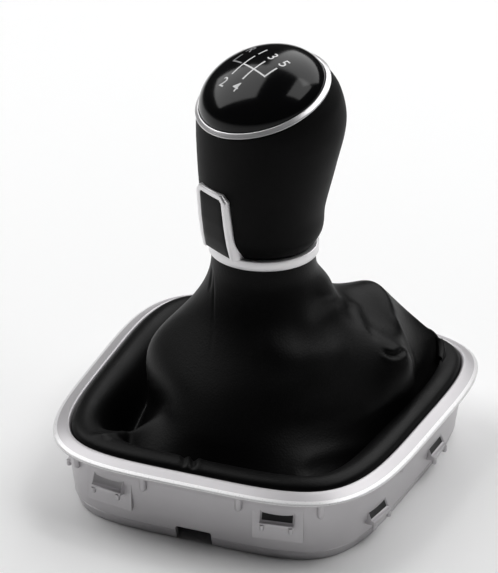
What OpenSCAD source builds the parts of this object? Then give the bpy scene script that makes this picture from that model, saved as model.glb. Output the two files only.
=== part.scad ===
// Manual gear shift knob with its leather gaiter and clip-in console frame.
// The driver sits at -Y, the dashboard is at +Y, and the frame stands on z = 0.

/* [Frame] */
// Length of the frame, from the driver's end to the dashboard end
frame_length = 149; // [130:1:165]
// Width of the frame half way along it
frame_width = 138; // [125:1:150]
// Share by which the dashboard end is wider and the driver's end narrower
frame_flare = 0.069; // [0:0.003:0.09]
// Squareness of the outline, where 2 is an ellipse and more is squarer
frame_squareness = 4.16; // [3.5:0.02:5]
// Height of the frame, from the skirt's foot to the crest of the bezel
frame_height = 30; // [28:0.5:36]
// Width of the bezel, from its rim to its inner edge
bezel_width = 6.1; // [5:0.1:7]
// Rise of the bezel, from its rim to its crest
bezel_rise = 2; // [1:0.1:2.5]
// Thickness of the bezel's rim
rim_thickness = 1.4; // [1:0.1:2]
// Distance from the rim to the skirt's face, just under the bezel
skirt_inset = 5; // [4:0.1:5.5]
// Distance by which the skirt leans in, from the bezel to its foot
skirt_draft = 3.2; // [1:0.1:4]
// Thickness of the skirt's wall
skirt_wall = 2; // [1.6:0.1:2.2]

/* [Clips] */
// Width of a snap wedge
wedge_w = 12.4; // [8:0.1:16]
// Height of a snap wedge
wedge_h = 6.4; // [4:0.1:8]
// Distance by which a snap wedge stands out of the skirt
wedge_out = 3; // [2:0.1:4]
// Height of the wedges' lower lip over the skirt's foot
wedge_z = 15.4; // [10:0.1:17]
// Distance of the wedges at each end from the centre line
wedge_x = 34; // [25:0.5:38]
// Height of the side wedges' lower lip
wedge_side_z = 8; // [7:0.1:16]
// Places of the wedges along each side
wedge_side_y = [-36, 14]; // [-46:1:46]
// Width of a locating rib
rib_w = 2.4; // [1.6:0.1:3]
// Length of a locating rib below the bezel
rib_h = 5; // [4:0.5:8]
// Places of the locating ribs along each end
rib_x = [-52, -18.5, 18.5, 52]; // [-56:0.5:56]
// Places of the locating ribs along each side
rib_side_y = [-20, 36]; // [-46:1:46]
// Width of the notch in the skirt's foot
notch_w = 13.8; // [8:0.2:16]
// Height of the notch in the skirt's foot
notch_h = 6; // [3:0.5:9]

/* [Gaiter] */
// Thickness of the leather
leather_t = 1.2; // [1:0.1:1.5]
// Radius of the gathered neck, under the knob
neck_r = 19; // [18.6:0.1:19]
// Distance between the gaiter and what it touches
seat_gap = 0.3; // [0.2:0.05:0.35]

/* [Knob] */
// Height of the knob's lower edge over the skirt's foot
knob_z = 88.2; // [84:0.2:95]
// Turn of the knob about its own axis, as it was fitted
knob_turn = -32; // [-45:1:45]
// Radius of the lower trim
trim_r = 20.1; // [20:0.1:21]
// Height of the lower trim's band
trim_h = 3.8; // [3:0.1:5]
// Height from the lower trim to the middle of the upper ring
grip_h = 56.9; // [50:0.1:62]
// Tilt of the cap towards the driver
cap_tilt = 21.6; // [15:0.1:24]
// Radius of the upper ring
ring_r = 25.2; // [24.6:0.1:25.6]
// Radius of the cap
cap_r = 23.5; // [22.5:0.1:23.6]
// Height of the cap's dome
cap_h = 13; // [9:0.1:15]

/* [Window] */
// Half of the window bracket's width at its foot
window_foot = 10.6; // [8:0.1:12]
// Half of the window bracket's width at its head
window_head = 9.6; // [7:0.1:11]
// Height of the window bracket over the lower trim
window_h = 26; // [18:0.5:28]
// Width of the window bracket's legs
window_leg = 2.6; // [1.6:0.1:3.4]
// Thickness of the window bracket
window_t = 0.9; // [0.6:0.1:1.8]

/* [Lever] */
// Radius of the bore for the gear lever
bore_r = 6; // [5:0.25:7]
// Depth of the bore
bore_depth = 48; // [40:1:52]
// Outer radius of the sleeve
sleeve_r = 8.6; // [8:0.1:9]
// Length of the sleeve's slotted neck below the knob
sleeve_neck = 12; // [10:0.5:14]

/* [Hidden] */
$fn = 96;
half_l = frame_length / 2;
half_w = frame_width / 2;
outline_steps = 80;
cover_steps = 48;
cover_rings = 15;
core_steps = 24;
core_rings = 8;
gaiter_steps = 60;
gaiter_rings = 22;

// Frame outline, a squared ellipse that widens towards the dashboard
function outline_point(angle) =
    let (reach = pow(pow(abs(cos(angle)) / half_w, frame_squareness)
                   + pow(abs(sin(angle)) / half_l, frame_squareness), -1 / frame_squareness),
         y = reach * sin(angle))
    [reach * cos(angle) * (1 + frame_flare * y / half_l), y];

// Point of the outline moved in by a distance, square to its edge
function inset_point(angle, inset) =
    let (run = outline_point(angle + 1) - outline_point(angle - 1),
         out = [run.y, -run.x] / norm(run))
    outline_point(angle) - inset * out;

// Triangles of a tube whose rings and whose ends both close on themselves
function closed_faces(steps, rings) =
    [for (j = [0:rings - 1], i = [0:steps - 1])
        let (a = j * steps + i,
             b = j * steps + (i + 1) % steps,
             c = ((j + 1) % rings) * steps + (i + 1) % steps,
             d = ((j + 1) % rings) * steps + i)
        each [[a, c, b], [a, d, c]]];

// Moulding of one section, given as [inset, z] pairs, swept round the frame
module frame_sweep(section) {
    points = [for (s = section, i = [0:outline_steps - 1])
        let (p = inset_point(i * 360 / outline_steps, s[0])) [p.x, p.y, s[1]]];
    polyhedron(points, closed_faces(outline_steps, len(section)), convexity = 6);
}

// Smooth curve through a value at each station
function slope(xs, ys, i) =
    i == 0 ? (ys[1] - ys[0]) / (xs[1] - xs[0])
    : i == len(xs) - 1 ? (ys[i] - ys[i - 1]) / (xs[i] - xs[i - 1])
    : (ys[i + 1] - ys[i - 1]) / (xs[i + 1] - xs[i - 1]);
function span_of(xs, x) = max([for (i = [0:len(xs) - 2]) x >= xs[i] ? i : 0]);
function curve(xs, ys, x) =
    let (i = span_of(xs, x), h = xs[i + 1] - xs[i], t = (x - xs[i]) / h)
    (2 * t * t * t - 3 * t * t + 1) * ys[i]
    + (t * t * t - 2 * t * t + t) * h * slope(xs, ys, i)
    + (3 * t * t - 2 * t * t * t) * ys[i + 1]
    + (t * t * t - t * t) * h * slope(xs, ys, i + 1);

// Frame

rim_z = frame_height - bezel_rise;
skirt_top = rim_z - rim_thickness - 1.2;
foot_h = 4.3;
foot_lean = 0.8;
function skirt_face(z) = skirt_inset + skirt_draft * (skirt_top - z) / skirt_top;
function skirt_inner(z) = skirt_face(z) + skirt_wall;

module bezel_section() {
    frame_sweep([
        [0, rim_z - rim_thickness / 2],
        [0.4, rim_z],
        [1.5, rim_z + 0.5],
        [bezel_width / 2, frame_height - 0.8],
        [bezel_width - 1.2, frame_height],
        [bezel_width, frame_height - 0.5],
        [bezel_width + 0.6, frame_height - 2],
        [skirt_inner(skirt_top), skirt_top],
        [skirt_inner(0), 0],
        [skirt_face(0) + foot_lean, 0],
        [skirt_face(foot_h), foot_h],
        [skirt_face(skirt_top), skirt_top],
        [1.5, rim_z - rim_thickness - 0.4],
        [0.3, rim_z - rim_thickness]
    ]);
}

// Snap wedge standing out of a wall that faces -Y, with two lugs at its lip
lip_low = 0.4;
lip_high = 1.6;
lug_r = 0.9;
module wedge() {
    rotate([90, 0, 90])
        translate([0, 0, -wedge_w / 2])
            linear_extrude(wedge_w)
                polygon([[skirt_wall / 2, wedge_h], [-0.2, wedge_h], [-wedge_out, lip_high],
                         [-wedge_out, lip_low], [-lip_low, 0], [skirt_wall / 2, 0]]);
    for (x = [-1, 1])
        translate([x * (wedge_w / 2 - lug_r), lug_r / 3 - wedge_out, 0])
            cylinder(h = 2 * lug_r, r = lug_r, center = true, $fn = 24);
}

// Short rib with a rounded foot, hanging from the bezel on a wall that faces -Y
module rib() {
    translate([0, 0, -rib_h]) cylinder(h = rib_h, r = rib_w / 2, $fn = 24);
    translate([0, 0, -rib_h]) sphere(r = rib_w / 2, $fn = 24);
    translate([-rib_w / 2, 0, -rib_h]) cube([rib_w, 1.6, rib_h]);
}

// Puts a thing on the skirt's face, where the outline is met at an angle
module on_skirt(angle, z) {
    here = inset_point(angle, skirt_face(z));
    run = outline_point(angle + 1) - outline_point(angle - 1);
    translate([here.x, here.y, z]) rotate(atan2(run.y, run.x)) children();
}

function angle_at_x(x) = -90 + atan(x / (half_l - skirt_inset));
function angle_at_y(y) = atan(y / (half_w - skirt_inset));

module bezel_frame() {
    color("silver") {
        difference() {
            bezel_section();
            for (side = [-1, 1])
                translate([-notch_w / 2, side * (half_l - 10) - 8, -1])
                    cube([notch_w, 16, notch_h + 1]);
        }
        for (turn = [0, 180], x = [-wedge_x, wedge_x])
            on_skirt(turn + angle_at_x(x), wedge_z) wedge();
        for (y = wedge_side_y) {
            on_skirt(angle_at_y(y), wedge_side_z) wedge();
            on_skirt(180 - angle_at_y(y), wedge_side_z) wedge();
        }
        for (turn = [0, 180], x = rib_x)
            on_skirt(turn + angle_at_x(x), skirt_top) rib();
        for (turn = [0, 180], y = rib_side_y)
            on_skirt(turn + angle_at_y(y), skirt_top) rib();
    }
}

// Gaiter retainer, an inner frame that holds the leather's hem inside the skirt

hem_z = rim_z - 11;
hem_inset = max(skirt_inner(hem_z), bezel_width + 0.6) + 2 * seat_gap;
retainer_inset = hem_inset + leather_t + seat_gap;
retainer_top = rim_z - 3.5;
retainer_foot = retainer_top - 14;
retainer_t = 2.2;
flange = 1.2;

module gaiter_retainer() {
    color("#2a2a2c") frame_sweep([
        [retainer_inset, retainer_top],
        [retainer_inset + retainer_t / 2, retainer_top + 0.8],
        [retainer_inset + retainer_t, retainer_top],
        [retainer_inset + retainer_t, retainer_foot + 2],
        [retainer_inset + retainer_t + flange, retainer_foot + 1.6],
        [retainer_inset + retainer_t + flange, retainer_foot],
        [retainer_inset, retainer_foot]
    ]);
}

// Gaiter, a sewn leather bell whose hem rolls over the retainer

gaiter_top = knob_z + 2.1;
// Height at a share of the way from the frame to the knob
function bell_z(share) = frame_height + share * (knob_z - frame_height);
// Stations from the neck down: radius from the lever's axis, then height
bell = [[neck_r, gaiter_top], [neck_r, knob_z - 1], [20, bell_z(0.842)],
        [24, bell_z(0.644)], [33.5, bell_z(0.361)], [39, bell_z(0.086)]];
// Stations near the frame: inset from the rim, then height
apron = [[22, frame_height - 9.5], [12.5, frame_height - 0.2],
         [bezel_width + 3, frame_height + 2.2], [bezel_width + 1.2, frame_height - 1.6],
         [hem_inset, hem_z]];
stations = len(bell) + len(apron);
// Billows of slack leather: direction, spread in degrees, station, reach in stations,
// push outwards and lift
billows = [
    [30, 60, 2.4, 0.8, 4.5, 0],
    [195, 50, 4.2, 1.2, 6.5, -4],
    [212, 32, 5.4, 1, -3, -8],
    [150, 50, 5.6, 1, 2, -4],
    [233, 12, 5.9, 0.9, -4, 11],
    [38.6, 32.4, 4.84, 0.93, 15, 3.3],
    [48.4, 26.6, 5.48, 1.59, -4.8, 27.2],
    [14.9, 10, 4.8, 0.89, 5.9, 4.3],
    [86.5, 34.8, 4.55, 1.45, 5.9, 2],
    [-48, 40, 4, 1.2, 1, 2],
    [-88, 40, 5.6, 1.2, 6, 5]
];
function turn_between(a, b) = abs((a - b + 540) % 360 - 180);
function bump(distance, width) = exp(-pow(distance / width, 2));
function swell(angle, s, which) =
    [for (b = billows) b[which] * bump(turn_between(angle, b[0]), b[1]) * bump(s - b[2], b[3])];
function total(list, i = 0) = i >= len(list) ? 0 : list[i] + total(list, i + 1);

// Round near the neck and following the frame's outline near the rim
function station_point(angle, i) =
    i < len(bell) ? [bell[i][0] * cos(angle), bell[i][0] * sin(angle), bell[i][1]]
    : [each inset_point(angle, apron[i - len(bell)][0]), apron[i - len(bell)][1]];
station_list = [for (i = [0:stations - 1]) i];

// Slack leather swells in the middle of the bell and is held at both its ends
held_top = 1.4;
held_foot = 8;
ease = 1.6;
function free_share(s) =
    min(1, max(0, (s - held_top) / ease)) * min(1, max(0, (held_foot - s) / ease));
function gaiter_point(angle, s) =
    let (row = [for (i = station_list) station_point(angle, i)],
         free = free_share(s),
         out = free * total(swell(angle, s, 4)))
    [curve(station_list, [for (p = row) p.x], s) + out * cos(angle),
     curve(station_list, [for (p = row) p.y], s) + out * sin(angle),
     curve(station_list, [for (p = row) p.z], s) + free * total(swell(angle, s, 5))];
function gaiter_inner(angle, s) =
    let (along = gaiter_point(angle, min(s + 0.05, stations - 1))
               - gaiter_point(angle, max(s - 0.05, 0)),
         around = gaiter_point(angle + 1, s) - gaiter_point(angle - 1, s),
         out = cross(around, -along))
    gaiter_point(angle, s) - leather_t * out / norm(out);

module gaiter() {
    rows = [for (j = [0:gaiter_rings - 1]) j * (stations - 1) / (gaiter_rings - 1)];
    angles = [for (i = [0:gaiter_steps - 1]) i * 360 / gaiter_steps];
    points = [
        for (j = [gaiter_rings - 1:-1:0], angle = angles) gaiter_point(angle, rows[j]),
        for (s = rows, angle = angles) gaiter_inner(angle, s)
    ];
    color("#161617") polyhedron(points, closed_faces(gaiter_steps, 2 * gaiter_rings),
                                convexity = 8);
}

module gaiter_neck_ring() {
    ring_outer = neck_r - leather_t - seat_gap;
    ring_inner = ring_outer - 2.2;
    ring_foot = knob_z - 10;
    ring_top = gaiter_top - 0.2;
    color("#2a2a2c") rotate_extrude()
        polygon([[ring_inner, ring_foot], [ring_outer - 0.6, ring_foot],
                 [ring_outer, ring_foot + 0.8], [ring_outer, ring_top],
                 [ring_inner, ring_top]]);
}

// Knob

ledge_z = knob_z + trim_h;
cap_centre = [0, -1, ledge_z + grip_h];

module knob_frame() {
    rotate(knob_turn) children();
}
module cap_frame() {
    knob_frame() translate(cap_centre) rotate([cap_tilt, 0, 0]) children();
}

// Stations up the grip: share of its height, radius, push to the dashboard, tilt
grip_at = [0, 0.1, 0.25, 0.5, 0.75, 0.9, 1];
grip_r = [18.4, 21.4, 22.4, 25.15, 27.3, 26.8, ring_r - 0.2];
grip_push = [0, 0, -0.2, 1.3, 2.8, 1.5, -1];
grip_lean = [0, 0, 2, 8.5, 12, 17.5, cap_tilt];
function grip_point(angle, s, inset) =
    let (r = curve(grip_at, grip_r, s) - inset,
         lean = curve(grip_at, grip_lean, s))
    [r * cos(angle),
     r * sin(angle) * cos(lean) + curve(grip_at, grip_push, s),
     ledge_z + grip_h * s + r * sin(angle) * sin(lean)];

module leather_cover() {
    rows = [for (j = [0:cover_rings - 1]) j / (cover_rings - 1)];
    angles = [for (i = [0:cover_steps - 1]) i * 360 / cover_steps];
    points = [
        for (s = rows, angle = angles) grip_point(angle, s, 0),
        for (j = [cover_rings - 1:-1:0], angle = angles) grip_point(angle, rows[j], leather_t)
    ];
    color("#1a1a1b") knob_frame()
        polyhedron(points, closed_faces(cover_steps, 2 * cover_rings), convexity = 6);
}

// Triangles of a solid whose rings run up from a flat foot to a flat head
function solid_faces(steps, rings) = concat(
    [for (j = [0:rings - 2], i = [0:steps - 1])
        let (a = j * steps + i,
             b = j * steps + (i + 1) % steps,
             c = (j + 1) * steps + (i + 1) % steps,
             d = (j + 1) * steps + i)
        each [[a, c, b], [a, d, c]]],
    [[for (i = [0:steps - 1]) i]],
    [[for (i = [steps - 1:-1:0]) (rings - 1) * steps + i]]);

sleeve_top = knob_z - sleeve_neck + bore_depth + 3;
press_gap = 0.02;
core_gap = 0.3;
pocket_r = 16;
pocket_depth = 9;
module knob_core() {
    rows = [for (j = [0:core_rings - 1]) j / (core_rings - 1)];
    angles = [for (i = [0:core_steps - 1]) i * 360 / core_steps];
    points = [for (s = rows, angle = angles)
        grip_point(angle, s, leather_t + core_gap)];
    color("#303033") difference() {
        union() {
            knob_frame() polyhedron(points, solid_faces(core_steps, core_rings), convexity = 4);
            translate([0, 0, ledge_z - 0.6]) cylinder(h = 2, r = 16.7);
        }
        translate([0, 0, ledge_z - 1]) cylinder(h = sleeve_top - ledge_z + 1.1,
                                                 r = sleeve_r + press_gap);
        cap_frame() translate([0, 0, -pocket_depth]) cylinder(h = pocket_depth + 3, r = pocket_r);
    }
}

module lower_trim() {
    color("silver") knob_frame() {
        rotate_extrude()
            polygon([[neck_r + seat_gap, knob_z], [trim_r - 0.3, knob_z],
                     [trim_r, knob_z + 0.3], [trim_r, ledge_z - 0.3],
                     [trim_r - 0.3, ledge_z], [18.2, ledge_z],
                     [18.2, ledge_z - 0.6], [16.8, ledge_z - 0.6],
                     [16.8, gaiter_top + 0.2], [neck_r + seat_gap, gaiter_top + 0.2]]);
        window_bracket();
    }
}

// Face of the grip towards the driver, as [radius, height] pairs
function driver_face(s, lift) =
    let (p = grip_point(-90, s, -lift)) [-p.y, p.z];
bracket_lift = 0.12;
window_corner = 2.5;
window_s = [for (j = [0:8]) j * 0.56 / 8];
module driver_shell(near, far) {
    rotate_extrude()
        polygon([for (s = window_s) driver_face(s, near),
                 for (j = [8:-1:0]) driver_face(window_s[j], far)]);
}

// Outline of the window seen from the driver's side, shrunk by a border
module window_outline(border, low) {
    foot = window_foot - border;
    head = window_head - border;
    top = window_h - border;
    polygon([[-foot, low], [foot, low], [head, top - window_corner], [head - window_corner, top],
             [window_corner - head, top], [-head, top - window_corner]]);
}
module window_prism(border, low) {
    translate([0, 0, ledge_z]) rotate([90, 0, 0])
        linear_extrude(30) window_outline(border, low);
}

module window_bracket() {
    intersection() {
        driver_shell(bracket_lift, window_t);
        difference() {
            window_prism(0, -1);
            window_prism(window_leg, -2);
        }
    }
}

module window_inlay() {
    color("#0c0c0d") knob_frame() intersection() {
        driver_shell(bracket_lift, window_t / 2);
        window_prism(window_leg + 0.15, 0.4);
    }
}

module upper_trim_ring() {
    color("silver") cap_frame() rotate_extrude()
        polygon([[cap_r + 0.1, press_gap], [ring_r, press_gap], [ring_r + 0.2, 0.2],
                 [ring_r + 0.1, 0.5], [ring_r - 0.5, 1.1], [cap_r + 0.4, 1.6],
                 [cap_r + 0.1, 1.5]]);
}

module cap_dome() {
    roundness = 1.05;
    cap_rise = 0.9;
    spigot_r = pocket_r - 0.4;
    spigot_h = pocket_depth - 2;
    slot_h = spigot_h - 2;
    crown = [for (a = [0:6:90]) [cap_r * pow(cos(a), roundness), cap_h * pow(sin(a), roundness)]];
    color("#08080a") cap_frame() {
        translate([0, 0, cap_rise]) rotate_extrude()
            polygon(concat([[0, press_gap - cap_rise], [cap_r, press_gap - cap_rise]], crown));
        translate([0, 0, -spigot_h]) difference() {
            cylinder(h = spigot_h + 0.5, r = spigot_r);
            translate([0, 0, -1]) cylinder(h = slot_h + 1, r = spigot_r - 2.2);
            for (turn = [0:90:270]) rotate(turn) translate([0, -1, -1]) cube([20, 2, slot_h + 1]);
        }
    }
}

// Lever fixing

module lever_sleeve() {
    foot = knob_z - sleeve_neck;
    color("#b8b8ba") difference() {
        union() {
            translate([0, 0, foot]) cylinder(h = sleeve_top - foot, r = sleeve_r);
            translate([0, 0, foot]) cylinder(h = 1.4, r = sleeve_r + 0.8);
        }
        translate([0, 0, foot - 1]) cylinder(h = bore_depth + 1, r = bore_r);
        for (turn = [0, 90]) rotate(turn + 45)
            translate([-15, -0.75, foot - 1]) cube([30, 1.5, 9]);
    }
}

module lever_clamp() {
    band = 0.8;
    clamp_h = 6;
    ear_w = 4.8;
    inner = sleeve_r + press_gap;
    color("#c8c8ca") translate([0, 0, knob_z - sleeve_neck + 2])
        difference() {
            union() {
                cylinder(h = clamp_h, r = inner + band);
                translate([inner - 0.4, -ear_w / 2, 0]) cube([band + 2.6, ear_w, clamp_h]);
            }
            translate([0, 0, -1]) cylinder(h = clamp_h + 2, r = inner);
            translate([inner + band, band - ear_w / 2, -1])
                cube([1.4, ear_w - 2 * band, clamp_h + 2]);
        }
}

bezel_frame();
gaiter_retainer();
gaiter();
gaiter_neck_ring();
lower_trim();
window_inlay();
leather_cover();
knob_core();
upper_trim_ring();
cap_dome();
lever_sleeve();
lever_clamp();
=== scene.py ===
import math
import bpy
import bmesh
import numpy as np
from mathutils import Matrix, Vector


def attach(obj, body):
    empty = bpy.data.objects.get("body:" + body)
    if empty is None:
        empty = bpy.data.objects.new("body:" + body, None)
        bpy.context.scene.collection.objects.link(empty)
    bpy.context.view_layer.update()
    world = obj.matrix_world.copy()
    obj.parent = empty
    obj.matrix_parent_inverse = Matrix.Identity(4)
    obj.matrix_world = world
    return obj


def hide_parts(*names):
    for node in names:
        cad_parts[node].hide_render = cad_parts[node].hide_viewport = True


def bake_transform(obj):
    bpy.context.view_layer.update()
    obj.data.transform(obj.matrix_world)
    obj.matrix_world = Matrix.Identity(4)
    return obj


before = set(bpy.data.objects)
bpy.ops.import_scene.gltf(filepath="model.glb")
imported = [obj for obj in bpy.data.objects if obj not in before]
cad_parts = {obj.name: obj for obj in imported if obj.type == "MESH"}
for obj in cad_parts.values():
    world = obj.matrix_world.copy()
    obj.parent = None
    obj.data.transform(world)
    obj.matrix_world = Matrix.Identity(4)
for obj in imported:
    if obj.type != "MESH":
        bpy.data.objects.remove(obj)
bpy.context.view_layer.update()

mm = 0.001  # every size below is in millimetres
print("frame loaded:", ", ".join(sorted(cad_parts)))

# Frame outline and heights, the same as in the part's source
frameSize = {
    "halfLength": 74.5,
    "halfWidth": 69.0,
    "flare": 0.069,
    "squareness": 4.16,
    "height": 30.0,
    "bezelRise": 2.0,
    "rimThickness": 1.4,
    "skirtInset": 5.0,
    "skirtDraft": 3.2,
    "skirtWall": 2.0,
    "outlineSteps": 288,
}
rimZ = frameSize["height"] - frameSize["bezelRise"]
skirtTop = rimZ - frameSize["rimThickness"] - 1.2


def clearSelection():
    if bpy.context.object and bpy.context.object.mode != "OBJECT":
        bpy.ops.object.mode_set(mode="OBJECT")
    bpy.ops.object.select_all(action="DESELECT")


def pick(*pieces):
    clearSelection()
    for piece in pieces:
        piece.select_set(True)
    bpy.context.view_layer.objects.active = pieces[0]
    return pieces[0]


def joinPieces(name, pieces):
    pick(*pieces)
    bpy.ops.object.join()
    joined = bpy.context.object
    joined.name = name
    joined.data.name = name
    return joined


def applyModifiers(piece):
    pick(piece)
    for modifier in list(piece.modifiers):
        bpy.ops.object.modifier_apply(modifier=modifier.name)


def meshPoints(piece):
    points = np.empty(len(piece.data.vertices) * 3)
    piece.data.vertices.foreach_get("co", points)
    return points.reshape(-1, 3) / mm


def setMeshPoints(piece, points):
    piece.data.vertices.foreach_set("co", (points * mm).ravel())
    piece.data.update()


def vertexNormals(piece):
    normals = np.empty(len(piece.data.vertices) * 3, np.float32)
    piece.data.vertex_normals.foreach_get("vector", normals)
    return normals.reshape(-1, 3).astype(float)


def smoothByAngle(piece, degrees):
    pick(piece)
    bpy.ops.object.shade_smooth_by_angle(angle=math.radians(degrees))


def lathe(radiusAndHeight, steps):
    # Rings of a turned profile
    angles = np.linspace(0, 2 * math.pi, steps, endpoint=False)
    return [np.c_[r * np.cos(angles), r * np.sin(angles), np.full(steps, z)] for r, z in radiusAndHeight]


def loftPiece(name, rings, closed=False, foot="", head=""):
    # A circle is extruded ring by ring, and its ends are filled, drawn to a point or joined
    clearSelection()
    bpy.ops.mesh.primitive_circle_add(vertices=len(rings[0]), radius=mm)
    piece = bpy.context.object
    piece.name = name
    piece.data.name = name
    bpy.ops.object.mode_set(mode="EDIT")
    bpy.ops.mesh.select_mode(type="VERT")
    bpy.ops.mesh.select_all(action="SELECT")
    shape = bmesh.from_edit_mesh(piece.data)
    place = shape.verts.layers.int.new("ringPlace")
    for number, vert in enumerate(shape.verts):
        vert[place] = number
        vert.co = Vector(rings[0][number]) * mm
    if foot == "fill":
        bpy.ops.mesh.edge_face_add()
    for ring in rings[1:] + ([rings[0]] if closed else []):
        bpy.ops.mesh.extrude_region_move()
        shape = bmesh.from_edit_mesh(piece.data)
        place = shape.verts.layers.int["ringPlace"]
        for vert in shape.verts:
            if vert.select:
                vert.co = Vector(ring[vert[place]]) * mm
    if head == "point":
        bpy.ops.mesh.merge(type="CENTER")
    bpy.ops.mesh.select_all(action="SELECT")
    bpy.ops.mesh.remove_doubles(threshold=1e-7)
    bpy.ops.mesh.normals_make_consistent(inside=False)
    bpy.ops.object.mode_set(mode="OBJECT")
    piece.data.attributes.remove(piece.data.attributes["ringPlace"])
    return piece


def curveThrough(stations, values, at):
    # Smooth curve through one value at each station
    stations = np.asarray(stations, float)
    values = np.asarray(values, float)
    slopes = np.empty_like(values)
    slopes[0] = (values[1] - values[0]) / (stations[1] - stations[0])
    slopes[-1] = (values[-1] - values[-2]) / (stations[-1] - stations[-2])
    run = (stations[2:] - stations[:-2]).reshape((-1,) + (1,) * (values.ndim - 1))
    slopes[1:-1] = (values[2:] - values[:-2]) / run
    i = int(np.clip(np.searchsorted(stations, at, side="right") - 1, 0, len(stations) - 2))
    step = stations[i + 1] - stations[i]
    t = (at - stations[i]) / step
    return (
        (2 * t**3 - 3 * t**2 + 1) * values[i]
        + (t**3 - 2 * t**2 + t) * step * slopes[i]
        + (3 * t**2 - 2 * t**3) * values[i + 1]
        + (t**3 - t**2) * step * slopes[i + 1]
    )


def outlinePoints(angles):
    size = frameSize
    power = size["squareness"]
    reach = (
        (np.abs(np.cos(angles)) / size["halfWidth"]) ** power
        + (np.abs(np.sin(angles)) / size["halfLength"]) ** power
    ) ** (-1 / power)
    y = reach * np.sin(angles)
    return np.c_[reach * np.cos(angles) * (1 + size["flare"] * y / size["halfLength"]), y]


def insetPoints(angles, inset):
    step = math.radians(1)
    run = outlinePoints(angles + step) - outlinePoints(angles - step)
    out = np.c_[run[:, 1], -run[:, 0]] / np.linalg.norm(run, axis=1)[:, None]
    return outlinePoints(angles) - inset * out


def sweptRings(section, steps):
    # Rings of a moulding that follows the frame's outline, from pairs of inset and height
    angles = np.linspace(0, 2 * math.pi, steps, endpoint=False)
    return [np.c_[insetPoints(angles, inset), np.full(steps, z)] for inset, z in section]


def skirtFace(z):
    return frameSize["skirtInset"] + frameSize["skirtDraft"] * (skirtTop - z) / skirtTop


def skirtPlace(angle, z):
    # Matrix that puts a thing facing -Y onto the skirt's face
    step = math.radians(1)
    here = insetPoints(np.array([angle]), skirtFace(z))[0]
    run = (outlinePoints(np.array([angle + step])) - outlinePoints(np.array([angle - step])))[0]
    turn = Matrix.Rotation(math.atan2(run[1], run[0]), 4, "Z")
    return Matrix.Translation(Vector((here[0], here[1], z)) * mm) @ turn


def angleAtX(x):
    return -math.pi / 2 + math.atan(x / (frameSize["halfLength"] - frameSize["skirtInset"]))


def angleAtY(y):
    return math.atan(y / (frameSize["halfWidth"] - frameSize["skirtInset"]))


# Finishes

def newFinish(name, base, roughness, metallic=0.0, coat=0.0, coatRoughness=0.05, specular=0.5):
    material = bpy.data.materials.new(name)
    material.use_nodes = True
    shader = shaderOf(material)
    shader.inputs["Base Color"].default_value = (*base, 1)
    shader.inputs["Roughness"].default_value = roughness
    shader.inputs["Metallic"].default_value = metallic
    shader.inputs["Coat Weight"].default_value = coat
    shader.inputs["Coat Roughness"].default_value = coatRoughness
    shader.inputs["Specular IOR Level"].default_value = specular
    return material


def shaderOf(material):
    return material.node_tree.nodes["Principled BSDF"]


def node(material, kind):
    return material.node_tree.nodes.new(kind)


def link(material, source, socket, target, entry):
    material.node_tree.links.new(source.outputs[socket], target.inputs[entry])


def feed(material, source, socket, entry):
    # Carries a pattern into one of the finish's own sockets
    link(material, source, socket, shaderOf(material), entry)


def noise(material, space, scale, detail, roughness=0.5):
    made = node(material, "ShaderNodeTexNoise")
    made.inputs["Scale"].default_value = scale
    made.inputs["Detail"].default_value = detail
    made.inputs["Roughness"].default_value = roughness
    link(material, space, "Object", made, "Vector")
    return made


def cells(material, space, scale):
    made = node(material, "ShaderNodeTexVoronoi")
    made.inputs["Scale"].default_value = scale
    link(material, space, "Object", made, "Vector")
    return made


def spread(material, source, socket, low, high, toLow, toHigh):
    # Maps a pattern's range onto another
    made = node(material, "ShaderNodeMapRange")
    made.inputs["From Min"].default_value = low
    made.inputs["From Max"].default_value = high
    made.inputs["To Min"].default_value = toLow
    made.inputs["To Max"].default_value = toHigh
    link(material, source, socket, made, "Value")
    return made


def tint(material, source, dark, light):
    # Runs between two colours with a noise, straight into the base colour
    made = node(material, "ShaderNodeMix")
    made.data_type = "RGBA"
    made.inputs[6].default_value = (*dark, 1)
    made.inputs[7].default_value = (*light, 1)
    link(material, source, "Fac", made, "Factor")
    feed(material, made, 2, "Base Color")


def bump(material, source, socket, strength, distance, before=None):
    made = node(material, "ShaderNodeBump")
    made.inputs["Strength"].default_value = strength
    made.inputs["Distance"].default_value = distance
    link(material, source, socket, made, "Height")
    if before:
        link(material, before, "Normal", made, "Normal")
    return made


def leatherFinish(name, dark, light, grain, grainDepth, roughLow, roughHigh, specular):
    # Fine pebble grain, faint unevenness and a little handling shine
    leather = newFinish(name, dark, roughHigh, specular=specular)
    space = node(leather, "ShaderNodeTexCoord")
    shine = noise(leather, space, 38, 4, 0.55)
    feed(leather, spread(leather, shine, "Fac", 0.3, 0.7, roughLow, roughHigh), "Result", "Roughness")
    tint(leather, noise(leather, space, 90, 3), dark, light)
    pebble = cells(leather, space, grain)
    pores = noise(leather, space, grain * 2.6, 2)
    slack = noise(leather, space, 60, 2)
    first = bump(leather, slack, "Fac", 0.1, 0.0006)
    second = bump(leather, pebble, "Distance", grainDepth, 0.0002, first)
    third = bump(leather, pores, "Fac", grainDepth * 0.5, 0.0001, second)
    feed(leather, third, "Normal", "Normal")
    return leather


def metalFinish(name, base, roughness, grain, wear, metallic=1.0):
    # Satin metal or metal-look plating with faint mottling, also used as the near-white painted highlight on
    # the bezel's outer edge
    metal = newFinish(name, base, roughness, metallic)
    space = node(metal, "ShaderNodeTexCoord")
    speckle = noise(metal, space, grain, 3)
    rough = spread(metal, speckle, "Fac", 0.3, 0.7, roughness - wear, roughness + wear)
    feed(metal, rough, "Result", "Roughness")
    tint(metal, noise(metal, space, grain * 0.4, 3), tuple(c * 0.96 for c in base), base)
    feed(metal, bump(metal, speckle, "Fac", 0.02, 0.00002), "Normal", "Normal")
    return metal


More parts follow.
